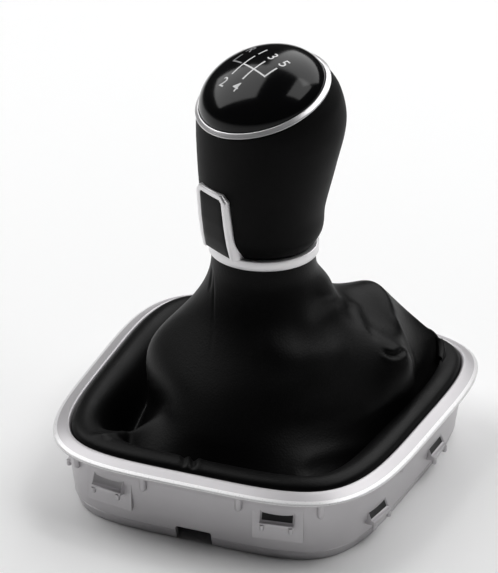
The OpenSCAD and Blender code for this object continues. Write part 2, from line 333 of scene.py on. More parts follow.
def paintFinish(name):
    # Silver paint over moulded plastic, with fine metal flake and soft clouding
    paint = newFinish(name, (0.66, 0.65, 0.66), 0.4, 0.5, coat=0.25, coatRoughness=0.3)
    space = node(paint, "ShaderNodeTexCoord")
    flake = noise(paint, space, 5200, 2)
    cloud = noise(paint, space, 34, 3)
    peel = noise(paint, space, 900, 2)
    tint(paint, cloud, (0.5, 0.485, 0.5), (0.62, 0.605, 0.62))
    feed(paint, spread(paint, flake, "Fac", 0.3, 0.7, 0.34, 0.5), "Result", "Roughness")
    first = bump(paint, peel, "Fac", 0.12, 0.0001)
    feed(paint, bump(paint, flake, "Fac", 0.15, 0.00003, first), "Normal", "Normal")
    return paint


def plasticFinish(name, base, roughness, depth):
    # Moulded plastic with a fine spark texture
    plastic = newFinish(name, base, roughness)
    space = node(plastic, "ShaderNodeTexCoord")
    spark = noise(plastic, space, 2600, 3)
    rough = spread(plastic, spark, "Fac", 0.3, 0.7, roughness - 0.06, roughness + 0.08)
    feed(plastic, rough, "Result", "Roughness")
    tint(plastic, noise(plastic, space, 120, 3), base, tuple(c * 1.5 for c in base))
    feed(plastic, bump(plastic, spark, "Fac", depth, 0.00008), "Normal", "Normal")
    return plastic


def glossFinish(name, base, specular=0.26):
    # Polished black with a trace of handling haze
    gloss = newFinish(name, base, 0.13, specular=specular)
    space = node(gloss, "ShaderNodeTexCoord")
    haze = noise(gloss, space, 55, 4)
    feed(gloss, spread(gloss, haze, "Fac", 0.35, 0.75, 0.11, 0.17), "Result", "Roughness")
    tint(gloss, haze, base, tuple(c * 1.4 for c in base))
    return gloss


def markFinish(name, light, dark):
    # Printed gate marks, slightly rubbed
    mark = newFinish(name, light, 0.35)
    space = node(mark, "ShaderNodeTexCoord")
    tint(mark, noise(mark, space, 700, 4, 0.6), dark, light)
    return mark


finishes = {
    "gaiterLeather": leatherFinish(
        "gaiterLeather", dark=(0.0016, 0.0016, 0.0017), light=(0.0024, 0.0024, 0.0025),
        grain=1300, grainDepth=0.2, roughLow=0.4, roughHigh=0.5, specular=0.12,
    ),
    "gripLeather": leatherFinish(
        "gripLeather", dark=(0.0018, 0.0018, 0.0019), light=(0.0026, 0.0026, 0.0027),
        grain=1700, grainDepth=0.1, roughLow=0.5, roughHigh=0.6, specular=0.1,
    ),
    "silverPaint": paintFinish("silverPaint"),
    # Near-white finish for the bezel's outer rounded edge: a painted highlight line
    "rimHighlightPaint": metalFinish(
        "rimHighlightPaint", (0.95, 0.94, 0.95), roughness=0.3, grain=1800, wear=0.04, metallic=0.2,
    ),
    # Near-black finish for the wedges' slopes: a painted dark reflection
    "darkReflectionPlastic": plasticFinish("darkReflectionPlastic", (0.012, 0.012, 0.013), roughness=0.5, depth=0.2),
    "innerPlastic": plasticFinish("innerPlastic", (0.02, 0.02, 0.021), roughness=0.5, depth=0.3),
    "satinTrim": metalFinish(
        "satinTrim", (0.84, 0.83, 0.84), roughness=0.3, grain=700, wear=0.02, metallic=0.65,
    ),
    "glossBlack": glossFinish("glossBlack", (0.0025, 0.0025, 0.0028)),
    "windowBlack": glossFinish("windowBlack", (0.002, 0.002, 0.0022), specular=0.06),
    "gateWhite": markFinish("gateWhite", light=(0.86, 0.86, 0.86), dark=(0.66, 0.66, 0.67)),
    "gateRubbed": markFinish("gateRubbed", light=(0.42, 0.42, 0.43), dark=(0.2, 0.2, 0.21)),
    "sleeveMetal": metalFinish("sleeveMetal", (0.55, 0.55, 0.56), roughness=0.38, grain=2400, wear=0.08),
    "clampSteel": metalFinish("clampSteel", (0.62, 0.61, 0.6), roughness=0.3, grain=2000, wear=0.06),
}


def dress(piece, *names):
    piece.data.materials.clear()
    for name in names:
        piece.data.materials.append(finishes[name])


print("finishes made")

# Camera, at the photograph's angle

cameraSize = {
    "azimuth": 21.54,
    "elevation": 26.19,
    "roll": -0.47,
    "distance": 1056.41,
    "target": (-6.3, 1.64, 70.61),
    "lens": 180.0,
    "sensor": 36,
}


def wayTowards(azimuth, elevation):
    # Direction out from the object, -Y at azimuth 0 and +X at 90
    turn, rise = math.radians(azimuth), math.radians(elevation)
    return Vector((math.sin(turn) * math.cos(rise), -math.cos(turn) * math.cos(rise), math.sin(rise)))


def placeCamera():
    azimuth = math.radians(cameraSize["azimuth"])
    roll = math.radians(cameraSize["roll"])
    right = Vector((math.cos(azimuth), math.sin(azimuth), 0))
    back = wayTowards(cameraSize["azimuth"], cameraSize["elevation"])
    up = back.cross(right)
    turnedRight = right * math.cos(roll) - up * math.sin(roll)
    turnedUp = right * math.sin(roll) + up * math.cos(roll)
    bpy.ops.object.camera_add()
    camera = bpy.context.object
    camera.name = "photoCamera"
    spot = (Vector(cameraSize["target"]) + back * cameraSize["distance"]) * mm
    turn = Matrix((turnedRight, turnedUp, back)).transposed().to_4x4()
    camera.matrix_world = Matrix.Translation(spot) @ turn
    camera.data.lens = cameraSize["lens"]
    camera.data.sensor_width = cameraSize["sensor"]
    camera.data.clip_start = 0.05
    camera.data.clip_end = 60
    bpy.context.scene.camera = camera


placeCamera()
print("camera placed")

# Frame

snapSize = {
    "width": 12.4,
    "height": 6.4,
    "out": 3.0,
    "endX": [-34, 34],
    "endZ": 15.4,
    "sideY": [-36, 14],
    "sideZ": 8.0,
    "ribWidth": 2.6,
    "ribHeight": 5.0,
    "ribX": [-55, -18.5, 18.5, 55],
    "ribY": [-20, 36],
    "notchWidth": 13.8,
    "notchHeight": 6.0,
    "notchInset": 8,
    "notchReach": 20,
    "notchRound": 0.9,
    "panelHalf": 9.3,
    "panelFoot": 9.2,
}


def makeMoulding():
    wall = frameSize["skirtWall"]
    section = [
        (0, rimZ - 0.75), (0.04, rimZ - 0.42), (0.16, rimZ - 0.18), (0.36, rimZ - 0.02), (0.7, rimZ + 0.14),
        (1.5, rimZ + 0.52), (2.3, rimZ + 0.88), (3.1, rimZ + 1.22), (3.9, rimZ + 1.54), (4.6, rimZ + 1.8),
        (5.1, rimZ + 1.94), (5.5, rimZ + 1.98), (5.85, rimZ + 1.85), (6.1, rimZ + 1.5), (6.35, rimZ + 0.9),
        (6.7, rimZ), (skirtFace(skirtTop) + wall, skirtTop), (skirtFace(12) + wall, 12),
        (skirtFace(0) + wall, 0.35), (skirtFace(0) + wall - 0.3, 0),
        # step of the foot band
        (skirtFace(0) + 1.15, 0), (skirtFace(0) + 0.9, 0.25), (skirtFace(3.9) + 0.1, 3.8),
        (skirtFace(4.1), 4.0), (skirtFace(4.3) + 0.14, 4.12),
        (skirtFace(9), 9), (skirtFace(16), 16), (skirtFace(22), 22), (skirtFace(skirtTop), skirtTop - 0.4),
        (skirtFace(skirtTop) - 0.4, skirtTop), (3.2, skirtTop + 0.45), (1.5, rimZ - 1.85),
        (0.6, rimZ - 1.5), (0.2, rimZ - 1.3), (0.04, rimZ - 1.05),
    ]
    moulding = loftPiece("frameMoulding", sweptRings(section, frameSize["outlineSteps"]), closed=True)
    for side in (-1, 1):
        cutNotch(moulding, side)
    smoothByAngle(moulding, 40)
    return moulding


def cutNotch(moulding, side):
    # Notch in the foot at one end, with rounded top corners
    clearSelection()
    place = side * (frameSize["halfLength"] - snapSize["notchInset"])
    bpy.ops.mesh.primitive_cube_add(size=mm, location=(0, place * mm, 0))
    cutter = bpy.context.object
    bpy.ops.object.mode_set(mode="EDIT")
    size = (snapSize["notchWidth"], snapSize["notchReach"], 2 * snapSize["notchHeight"])
    bpy.ops.transform.resize(value=size)
    shape = bmesh.from_edit_mesh(cutter.data)
    bpy.ops.mesh.select_all(action="DESELECT")
    bpy.ops.mesh.select_mode(type="EDGE")
    for edge in shape.edges:
        alongY = abs(edge.verts[0].co.x - edge.verts[1].co.x) < 1e-6
        edge.select = alongY and all(v.co.z > 0 for v in edge.verts)
    bpy.ops.mesh.bevel(offset=snapSize["notchRound"] * mm, segments=4)
    bpy.ops.object.mode_set(mode="OBJECT")
    cut = moulding.modifiers.new("notch", "BOOLEAN")
    cut.operation = "DIFFERENCE"
    cut.object = cutter
    applyModifiers(moulding)
    bpy.data.objects.remove(cutter)


def roundEdges(piece, width, segments=2, angle=30):
    edge = piece.modifiers.new("softEdge", "BEVEL")
    edge.width = width * mm
    edge.segments = segments
    edge.limit_method = "ANGLE"
    edge.angle_limit = math.radians(angle)
    applyModifiers(piece)


def makeSnapWedge(darkReflection):
    # Sloping wedge with a lip and two small lugs, on a wall that faces -Y, its slope silver, or near-black
    # as a painted dark reflection
    out = snapSize["out"]
    profile = [
        (1.2, 0), (-0.4, 0), (-out, 0.4), (-out, 1.6), (0.2 - out, 1.85), (0.9 - out, 1.9),
        (-0.25, snapSize["height"]), (1.2, snapSize["height"]),
    ]
    half = snapSize["width"] / 2
    rings = [np.array([(x, y, z) for y, z in profile]) for x in (-half, half)]
    body = loftPiece("snapWedge", rings, foot="fill")
    bpy.ops.object.mode_set(mode="EDIT")
    bpy.ops.mesh.select_all(action="DESELECT")
    bpy.ops.mesh.select_mode(type="FACE")
    shape = bmesh.from_edit_mesh(body.data)
    for face in shape.faces:
        face.select = face.normal.y < -0.5 and face.normal.z > 0.2 and face.calc_area() > 20 * mm * mm
    bpy.ops.mesh.inset(thickness=0.6 * mm, depth=-0.5 * mm)
    dress(body, "silverPaint", "darkReflectionPlastic")
    shape = bmesh.from_edit_mesh(body.data)
    # Slope faces of the near-black wedges take the dark finish, a painted dark reflection
    for face in shape.faces:
        face.material_index = int(darkReflection and face.select)
    bpy.ops.object.mode_set(mode="OBJECT")
    roundEdges(body, 0.16)
    lugs = []
    for side in (-1, 1):
        pin = lathe([(0.35, -1.5), (0.7, -1.35), (0.9, -0.9), (0.9, 0.9)], 20)
        lug = loftPiece("lug", pin, foot="fill")
        lug.data.transform(Matrix.Translation(Vector((side * (half - 1), 0.35 - out, 0)) * mm))
        dress(lug, "silverPaint")
        lugs.append(lug)
    return joinPieces("snapWedge", [body, *lugs])


def makeRib():
    r = snapSize["ribWidth"] / 2
    turns = np.radians((12, 35, 60, 90))
    foot = [(r * math.sin(turn), -snapSize["ribHeight"] - r * math.cos(turn)) for turn in turns]
    return loftPiece("locatingRib", lathe([*foot, (r, 0.2)], 24), foot="fill")


def makePanel():
    # Faint witness line of the mould insert round a wedge
    half = snapSize["panelHalf"]
    foot = snapSize["panelFoot"] - snapSize["endZ"]
    head = skirtTop - snapSize["endZ"]
    corners = [(-half, foot), (half, foot), (half, head), (-half, head)]
    rings = [np.array([(x, y, z) for x, z in corners]) for y in (0.6, -0.08)]
    panel = loftPiece("insertPanel", rings, foot="fill")
    bpy.ops.object.mode_set(mode="EDIT")
    bpy.ops.mesh.select_all(action="SELECT")
    bpy.ops.mesh.subdivide(number_cuts=9)
    bpy.ops.object.mode_set(mode="OBJECT")
    return panel


def copiesAt(name, model, places):
    copies = []
    for place in places:
        copy = model.copy()
        copy.data = model.data.copy()
        bpy.context.collection.objects.link(copy)
        copy.data.transform(place)
        copies.append(copy)
    bpy.data.objects.remove(model)
    return joinPieces(name, copies)


def makeFrame():
    moulding = makeMoulding()
    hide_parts("bezel_frame")
    halfTurns = (0, math.pi)
    ends = [skirtPlace(turn + angleAtX(x), snapSize["endZ"]) for turn in halfTurns for x in snapSize["endX"]]
    sides = []
    for y in snapSize["sideY"]:
        sides.append(skirtPlace(angleAtY(y), snapSize["sideZ"]))
        sides.append(skirtPlace(math.pi - angleAtY(y), snapSize["sideZ"]))
    paintedWedge = copiesAt("paintedWedge", makeSnapWedge(False), ends[:1])
    # All wedges but the front left one get the near-black slope, a painted dark reflection
    darkReflectionWedges = copiesAt("darkReflectionWedges", makeSnapWedge(True), ends[1:] + sides)
    wedges = joinPieces("snapWedges", [darkReflectionWedges, paintedWedge])
    smoothByAngle(wedges, 32)
    panels = copiesAt("insertPanels", makePanel(), ends)
    smoothByAngle(panels, 30)
    ribAngles = [turn + angleAtX(x) for turn in halfTurns for x in snapSize["ribX"]]
    ribAngles += [turn + angleAtY(y) for turn in halfTurns for y in snapSize["ribY"]]
    ribs = copiesAt("locatingRibs", makeRib(), [skirtPlace(angle, skirtTop) for angle in ribAngles])
    smoothByAngle(ribs, 40)
    dress(moulding, "silverPaint", "rimHighlightPaint")
    # Faces on the bezel's outer rounded edge take the near-white finish, a painted highlight line
    for face in moulding.data.polygons:
        outward = face.center.x * face.normal.x + face.center.y * face.normal.y > 0
        onEdge = rimZ - 0.7 < face.center.z / mm < rimZ + 0.4
        face.material_index = int(outward and onEdge)
    for piece in (ribs, panels):
        dress(piece, "silverPaint")
    for piece in (moulding, wedges, ribs, panels):
        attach(piece, "frame")
    print("frame made")


makeFrame()

# Gaiter

gaiterSize = {
    "leather": 1.2,
    "steps": 200,
    "rows": 84,
    "splitHeight": 54.0,
    "heldTop": 1.4,
    "heldFoot": 8.0,
    "ease": 1.6,
    # radius and height, from the neck down
    "bell": [(19, 90.3), (19, 87.2), (20, 79.0), (24, 67.48), (33.5, 51.0), (39, 35.0)],
    # inset from the rim and height, near the frame
    "apron": [(23.5, 20.0), (17.0, 29.4), (11.0, 32.2), (6.6, 29.2), (8.66, 17.0)],
    # direction, spread, station, reach, push outwards, lift
    "billows": [
        (30, 60, 2.4, 0.8, 4.5, 0),
        (195, 50, 4.2, 1.2, 6.5, -4),
        (212, 32, 5.4, 1, -3, -8),
        (150, 50, 5.6, 1, 2, -4),
        (233, 12, 5.9, 0.9, -4, 11),
        (39.4, 33, 4.77, 0.92, 15.2, 1.95),
        (52.7, 25.3, 5.52, 1.59, -3.8, 26.5),
        (14.9, 10, 4.8, 0.89, 5.9, 4.3),
        (87.7, 33.8, 4.64, 1.08, 11, 0.8),
        (-48, 40, 4, 1.2, 1, 2),
        (-88, 40, 5.6, 1.2, 4, 2),
        (-85, 60, 4.8, 0.9, 6, 0),
        (-4, 26, 5.3, 0.8, 4.5, 0),
        (34, 26, 6.5, 0.85, 7.5, -3.5),
    ],
    # direction, spread and extra fineness of the mesh where the small folds are
    "finer": [(265, 9, 2.2), (18, 20, 1.0), (218, 18, 0.9)],
    # soft pulls: where, how far they reach, and the move
    "pulls": [
        ((-35, -14, 50), 13, (-3.2, 0.4, 0)),
        ((-50, -36, 16), 11, (0, 0, -6)),
        ((25, -4, 66), 10, (-2.2, 1.6, -1.0)),
        ((20, -22, 58), 9, (0.5, -0.8, 0.4)),
    ],
    # lines of folds: their course, how far they take to rise from each end, and for each a list of
    # distance, width and height over the form
    "creases": [
        # centre seam
        (
            [
                (-17.0, -8.6, 88.0), (-15.5, -11.5, 83.5), (-13.8, -14.5, 79.1), (-12.3, -18.3, 73.1),
                (-10.7, -22.4, 67.2), (-9.0, -27.0, 61.5), (-7.6, -32.0, 55.5), (-6.4, -37.2, 47.5),
            ],
            22, [(0, 0.45, -0.3)],
        ),
        # pinch under the collar, and two tucks in the hem below the seam
        (
            [(-17.0, -9.5, 83.5), (-16.0, -11.6, 81.0), (-15.3, -13.6, 77.0), (-14.8, -15.6, 74.0)],
            4, [(0, 1.1, -0.4)],
        ),
        (
            [(-7.9, -54, 27.2), (-6.9, -58.4, 30.5), (-4.5, -64.3, 32.2), (-2.9, -67.6, 30.5)],
            3, [(0, 1.0, -0.8)],
        ),
        (
            [(-3.6, -54, 27.2), (-3.0, -58.2, 30.5), (-1.2, -64.0, 32.2), (0.2, -67.6, 30.5)],
            3, [(0, 1.1, -1.3), (2.0, 1.1, 0.35)],
        ),
        # lip of the pocket at the left
        (
            [
                (-44, -60, 31.5), (-38.6, -59.5, 31.0), (-36.3, -55, 29.0), (-35.5, -49, 27.0),
                (-35.5, -43, 25.0),
            ],
            7, [(0, 2.2, 1.6)],
        ),
        # upper edge of the hollow beside the lobe
        (
            [
                (21.2, -7.8, 75.2), (23.3, -3.1, 74.0), (24.8, 3.5, 71.9), (25.0, 11.3, 68.5),
                (27.0, 18.5, 64.3), (29.9, 19.3, 62.0), (32.9, 15.5, 59.8), (36.5, 10.9, 57.6),
                (40.6, 8.6, 54.5),
            ],
            12, [(0, 2.8, 1.0)],
        ),
        # lower edge of the hollow
        (
            [
                (9.1, -21.5, 70.6), (12.8, -25.7, 62.4), (17.3, -25.4, 59.9), (23.0, -22.0, 58.2),
                (28.4, -15.6, 56.6), (32.0, -6.6, 55.4), (34.4, 1.9, 55.1),
            ],
            10, [(0, 4.5, 0.6)],
        ),
        # tuck in the lobe, with the softer fold above it
        (
            [
                (44.0, 8.4, 51.8), (46.2, 8.5, 50.0), (47.5, 9.2, 49.1), (48.8, 10.5, 48.7),
                (49.8, 12.7, 49.0), (50.2, 17, 48.6),
            ],
            3.5, [(0, 0.9, -1.1), (2.0, 1.1, 0.35)],
        ),
        (
            [(35.5, 15.5, 58.3), (37.1, 13.7, 57.5), (40.4, 11.1, 55.6), (43.3, 9.8, 53.5)],
            4, [(0, 1.6, -0.6)],
        ),
        # ridge down the lobe's edge
        (
            [
                (31.5, 36, 65), (34.5, 31.5, 64.0), (38.0, 28.6, 61.6), (42.1, 27.5, 57.0),
                (45.0, 27.6, 50.4), (47.2, 29.0, 43.3), (49, 28.5, 36.6), (50, 26, 31),
            ],
            7, [(0, 2.4, 0.9)],
        ),
        # folds low at the right
        (
            [
                (28, -49, 28.6), (32.2, -43.0, 28.6), (34.5, -38.7, 28.5), (38.6, -31.2, 27.1),
                (42.2, -22.0, 24.7), (45.1, -11.5, 22.4), (48.5, 0, 21.2),
            ],
            10, [(0, 3.0, 0.8)],
        ),
        ([(28, -49, 28), (31.2, -48.2, 27.0), (34.3, -48.2, 25.6), (40, -44, 23.5)], 5, [(0, 2.0, 0.4)]),
        # fine slack on the belly
        ([(-37.3, -9.5, 48.4), (-33, -15, 51.5), (-29.7, -18.0, 54.0)], 3, [(0, 0.55, -0.25)]),
        ([(-36.5, -12.5, 47.2), (-32, -18, 51), (-26.4, -21.9, 54.2)], 3, [(0, 0.55, -0.28)]),
        ([(-35.8, -14.8, 46.0), (-30, -21, 50.5), (-23.9, -24.9, 53.5)], 3, [(0, 0.55, -0.3)]),
        ([(-35.2, -16.8, 44.6), (-30, -22.5, 48.5), (-24.5, -26.3, 51.1)], 3, [(0, 0.55, -0.26)]),
        ([(-34.6, -18.6, 43.2), (-30, -24, 46), (-25.8, -27.0, 48.5)], 3, [(0, 0.55, -0.2)]),
        ([(-35.5, -19.5, 34.5), (-32.3, -23.2, 36.8), (-28.8, -26.6, 40.5)], 2.5, [(0, 0.9, -0.6)]),
    ],
}


def gaiterAngles():
    # Steps round the gaiter, closer together where the small folds are
    fine = np.linspace(0, 360, 3601)
    weight = np.ones(len(fine))
    for direction, width, extra in gaiterSize["finer"]:
        weight += extra * np.exp(-((turnBetween(fine, direction) / width) ** 2))
    reached = np.concatenate([[0], np.cumsum((weight[1:] + weight[:-1]) / 2)])
    steps = np.arange(gaiterSize["steps"]) / gaiterSize["steps"] * reached[-1]
    return np.radians(np.interp(steps, reached, fine))


def turnBetween(degrees, direction):
    return np.abs((degrees - direction + 540) % 360 - 180)


def gaiterRing(angles, station):
    size = gaiterSize
    stations = np.arange(len(size["bell"]) + len(size["apron"]))
    rows = [np.c_[r * np.cos(angles), r * np.sin(angles), np.full(len(angles), z)] for r, z in size["bell"]]
    rows += [np.c_[insetPoints(angles, inset), np.full(len(angles), z)] for inset, z in size["apron"]]
    ring = curveThrough(stations, np.array(rows), station)
    slack = np.clip((station - size["heldTop"]) / size["ease"], 0, 1)
    slack *= np.clip((size["heldFoot"] - station) / size["ease"], 0, 1)
    slack = slack * slack * (3 - 2 * slack)
    for direction, width, place, reach, push, lift in size["billows"]:
        swell = slack * np.exp(-((turnBetween(np.degrees(angles), direction) / width) ** 2))
        swell *= math.exp(-(((station - place) / reach) ** 2))
        move = np.c_[push * np.cos(angles), push * np.sin(angles), np.full(len(angles), lift)]
        ring += move * swell[:, None]
    return ring


def lineDistance(points, line):
    # Distance from each point to the nearest place on a line, and that place's way from the nearer end
    line = np.asarray(line, float)
    lengths = np.linalg.norm(np.diff(line, axis=0), axis=1)
    best = np.full(len(points), 1e9)
    fromEnd = np.zeros(len(points))
    for number, (start, end) in enumerate(zip(line[:-1], line[1:])):
        run = end - start
        share = np.clip(((points - start) @ run) / (run @ run), 0, 1)
        away = np.linalg.norm(points - start - share[:, None] * run, axis=1)
        reached = lengths[:number].sum() + share * lengths[number]
        nearer = away < best
        best[nearer] = away[nearer]
        fromEnd[nearer] = np.minimum(reached, lengths.sum() - reached)[nearer]
    return best, fromEnd


def makeGaiter():
    angles = gaiterAngles()
    last = len(gaiterSize["bell"]) + len(gaiterSize["apron"]) - 1
    rows = gaiterSize["rows"]
    rings = [gaiterRing(angles, last * row / (rows - 1)) for row in range(rows)]
    gaiter = loftPiece("gaiter", rings[::-1])
    points = meshPoints(gaiter)
    pulled = points.copy()
    for place, reach, move in gaiterSize["pulls"]:
        near = np.exp(-((np.linalg.norm(points - place, axis=1) / reach) ** 2))
        pulled += np.outer(near, move)
    setMeshPoints(gaiter, pulled)
    finer = gaiter.modifiers.new("finer", "SUBSURF")
    finer.levels = 1
    applyModifiers(gaiter)
    points = meshPoints(gaiter)
    relief = np.zeros(len(points))
    for line, rise, folds in gaiterSize["creases"]:
        away, fromEnd = lineDistance(points, line)
        strength = np.sin(np.clip(fromEnd / rise, 0, 1) * math.pi / 2) ** 2
        for distance, width, height in folds:
            relief += strength * height * np.exp(-(((away - distance) / width) ** 2))
    setMeshPoints(gaiter, points + vertexNormals(gaiter) * relief[:, None])
    wall = gaiter.modifiers.new("leather", "SOLIDIFY")
    wall.thickness = gaiterSize["leather"] * mm
    wall.offset = -1
    applyModifiers(gaiter)
    pick(gaiter)
    bpy.ops.object.shade_smooth()
    return gaiter


def splitGaiter(gaiter):
    # Two pieces that meet at one height
    keep = gaiter.data.attributes.new("smoothNormal", "FLOAT_VECTOR", "POINT")
    keep.data.foreach_set("vector", vertexNormals(gaiter).astype(np.float32).ravel())
    parts = []
    for name, clearOuter in (("gaiterSkirt", True), ("gaiterNeck", False)):
        part = gaiter.copy()
        part.data = gaiter.data.copy()
        part.name = name
        part.data.name = name
        bpy.context.collection.objects.link(part)
        pick(part)
        bpy.ops.object.mode_set(mode="EDIT")
        bpy.ops.mesh.select_mode(type="VERT")
        bpy.ops.mesh.select_all(action="SELECT")
        bpy.ops.mesh.bisect(
            plane_co=(0, 0, gaiterSize["splitHeight"] * mm), plane_no=(0, 0, 1),
            use_fill=True, clear_outer=clearOuter, clear_inner=not clearOuter,
        )
        bpy.ops.object.mode_set(mode="OBJECT")
        kept = np.empty(len(part.data.vertices) * 3, np.float32)
        part.data.attributes["smoothNormal"].data.foreach_get("vector", kept)
        normals = kept.reshape(-1, 3)
        normals /= np.linalg.norm(normals, axis=1)[:, None]
        part.data.attributes.remove(part.data.attributes["smoothNormal"])
        part.data.normals_split_custom_set_from_vertices(normals.tolist())
        dress(part, "gaiterLeather")
        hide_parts("gaiter")
        parts.append(part)
    bpy.data.objects.remove(gaiter)
    return parts


def outerArea(part):
    # Half of a thin shell's surface, in square metres
    return sum(face.area for face in part.data.polygons) / 2


gaiterSkirt, gaiterNeck = splitGaiter(makeGaiter())
print("gaiter areas", round(outerArea(gaiterSkirt), 5), round(outerArea(gaiterNeck), 5))
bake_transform(gaiterSkirt)
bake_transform(gaiterNeck)
print("gaiter made")

# Knob

knobSize = {
    "turn": -32,
    "ledge": 92.0,
    "grip": 56.9,
    "capCentre": (0, -1, 148.9),
    "capTilt": 21.6,
    "capRadius": 23.5,
    "capHeight": 13.0,
    "capRise": 0.9,
    "roundness": 1.05,
    "ringRadius": 25.2,
    "trimRadius": 20.1,
    "leather": 1.2,
    "at": [0, 0.1, 0.25, 0.5, 0.75, 0.9, 1],
    "radius": [18.4, 21.4, 22.4, 25.15, 27.3, 26.8, 25.0],
    "push": [0, 0, -0.2, 1.3, 2.8, 1.5, -1],
    "lean": [0, 0, 2, 8.5, 12, 17.5, 21.6],
}
knobTurn = Matrix.Rotation(math.radians(knobSize["turn"]), 4, "Z")
capPlace = (
    knobTurn
    @ Matrix.Translation(Vector(knobSize["capCentre"]) * mm)
    @ Matrix.Rotation(math.radians(knobSize["capTilt"]), 4, "X")
)


def gripRing(angles, share, inset=0.0):
    radius = curveThrough(knobSize["at"], knobSize["radius"], share) - inset
    lean = math.radians(curveThrough(knobSize["at"], knobSize["lean"], share))
    push = curveThrough(knobSize["at"], knobSize["push"], share)
    return np.c_[
        radius * np.cos(angles),
        radius * np.sin(angles) * math.cos(lean) + push,
        knobSize["ledge"] + knobSize["grip"] * share + radius * np.sin(angles) * math.sin(lean),
    ]


def makeGrip():
    angles = np.linspace(0, 2 * math.pi, 144, endpoint=False)
    # the leather's edges turn in at the foot and the top
    outer = [(0, 0.7), (0.002, 0.35), (0.006, 0.12)]
    outer += [(share, 0) for share in np.linspace(0.014, 0.99, 62)]
    outer += [(0.995, 0.08), (0.999, 0.25), (1, 0.6)]
    inner = [(share, knobSize["leather"]) for share in np.linspace(0.99, 0.01, 16)]
    rings = [gripRing(angles, share, inset) for share, inset in outer + inner]
    grip = loftPiece("gripCover", rings, closed=True)
    grip.data.transform(knobTurn)
    pick(grip)
    bpy.ops.object.shade_smooth()
    dress(grip, "gripLeather")
    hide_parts("leather_cover")
    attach(grip, "knob")
    return grip


def domeHeight(radius):
    share = np.clip(radius / knobSize["capRadius"], 0, 1) ** (1 / knobSize["roundness"])
    return knobSize["capRise"] + knobSize["capHeight"] * np.sqrt(1 - share**2) ** knobSize["roundness"]


def makeCap():
    radius = knobSize["capRadius"]
    profile = [(radius - 1.5, 0.02), (radius - 0.1, 0.02), (radius, 0.2)]
    for turn in np.radians(np.arange(0, 90.1, 2.5)):
        profile.append((
            radius * max(0, math.cos(turn)) ** knobSize["roundness"],
            knobSize["capRise"] + knobSize["capHeight"] * math.sin(turn) ** knobSize["roundness"],
        ))
    cap = loftPiece("shiftCap", lathe(profile, 160), foot="fill", head="point")
    cap.data.transform(capPlace)
    smoothByAngle(cap, 50)
    dress(cap, "glossBlack")
    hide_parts("cap_dome")
    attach(cap, "knob")
    return cap


def makeUpperRing():
    r = knobSize["ringRadius"]
    inner = knobSize["capRadius"] + 0.1
    profile = [
        (inner, 0.04), (inner, 1.35), (inner + 0.06, 1.52), (inner + 0.22, 1.6), (inner + 0.42, 1.6),
        (inner + 0.58, 1.52), (r - 0.72, 1.2), (r - 0.2, 0.82), (r + 0.06, 0.55), (r + 0.16, 0.32),
        (r + 0.12, 0.14), (r, 0.04),
    ]
    ring = loftPiece("upperRing", lathe(profile, 192), closed=True)
    ring.data.transform(capPlace)
    smoothByAngle(ring, 34)
    dress(ring, "satinTrim")
    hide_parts("upper_trim_ring")
    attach(ring, "knob")
    return ring


windowSize = {
    "outer": [(-9.6, 0.0), (-8.8, 23.6), (-6.6, 26), (6.6, 26), (8.8, 23.6), (9.6, 0.0)],
    "inner": [(-7.0, 0.0), (-6.2, 22.5), (-5.4, 23.5), (5.4, 23.5), (6.2, 22.5), (7.0, 0.0)],
    "cuts": [24, 4, 18, 4, 24],
    # share of the way from the outer edge to the inner, and rise from the grip to the plate
    "moulding": [
        (0.04, 0), (0, 0.35), (0.02, 0.62), (0.07, 0.84), (0.17, 0.96), (0.3, 1),
        (0.7, 1), (0.83, 0.96), (0.93, 0.84), (0.98, 0.62), (1, 0.35), (0.96, 0),
    ],
    "lift": 0.05,
    # height and distance from the axis of the plate's middle, and its bend across
    "plate": ([0, 6, 13, 20, 26], [20.95, 22.35, 23.45, 24.2, 24.75]),
    "bend": 150.0,
}


def driverFace(x, z, rise, lift=0.0):
    # Place between the grip's face towards the driver and the flatter plate that stands before it
    shares = np.linspace(0, 0.62, 60)  # the window reaches no higher up the grip
    face = np.array([gripRing(np.array([-math.pi / 2]), share)[0] for share in shares])
    radius = np.interp(z + knobSize["ledge"], face[:, 2], -face[:, 1])
    onGrip = -np.sqrt(radius**2 - x**2) - windowSize["lift"]
    bend = windowSize["bend"]
    onPlate = -np.interp(z, *windowSize["plate"]) + bend - np.sqrt(bend**2 - x**2) - lift
    return np.c_[x, onGrip + (onPlate - onGrip) * rise, z + knobSize["ledge"]]


def alongPath(corners, cuts):
    corners = np.array(corners, float)
    path = [corners[0]]
    for number, cut in enumerate(cuts):
        for step in range(1, cut + 1):
            path.append(corners[number] + (corners[number + 1] - corners[number]) * step / cut)
    return np.array(path)


def makeCollar():
    r = knobSize["trimRadius"]
    profile = [
        (19.35, 88.22), (r - 0.25, 88.2), (r - 0.08, 88.27), (r, 88.45), (r, 91.62), (r - 0.08, 91.84),
        (r - 0.28, 91.98), (r - 0.6, 92.0), (18.3, 92.0), (18.2, 91.6), (16.85, 91.4), (16.85, 90.6),
        (19.35, 90.5),
    ]
    band = loftPiece("collarBand", lathe(profile, 160), closed=True)
    outer = alongPath(windowSize["outer"], windowSize["cuts"])
    inner = alongPath(windowSize["inner"], windowSize["cuts"])
    across, rise = np.array(windowSize["moulding"]).T
    rings = []
    for start, end in zip(outer, inner):
        places = start + (end - start) * across[:, None]
        rings.append(driverFace(places[:, 0], places[:, 1], rise))
    bracket = loftPiece("bracket", rings, foot="fill")
    collar = joinPieces("collarTrim", [band, bracket])
    collar.data.transform(knobTurn)
    smoothByAngle(collar, 34)
    dress(collar, "satinTrim")
    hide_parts("lower_trim")
    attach(collar, "knob")
    return collar


inlaySize = {
    "foot": 0.45,
    "tall": 23.3,
    "halfWidth": 7.3,
    "taper": 0.036,
    "sunk": 0.35,
    "edgeDrop": 0.2,
    "edgeSharpness": 8,
    "thickness": 0.25,
}


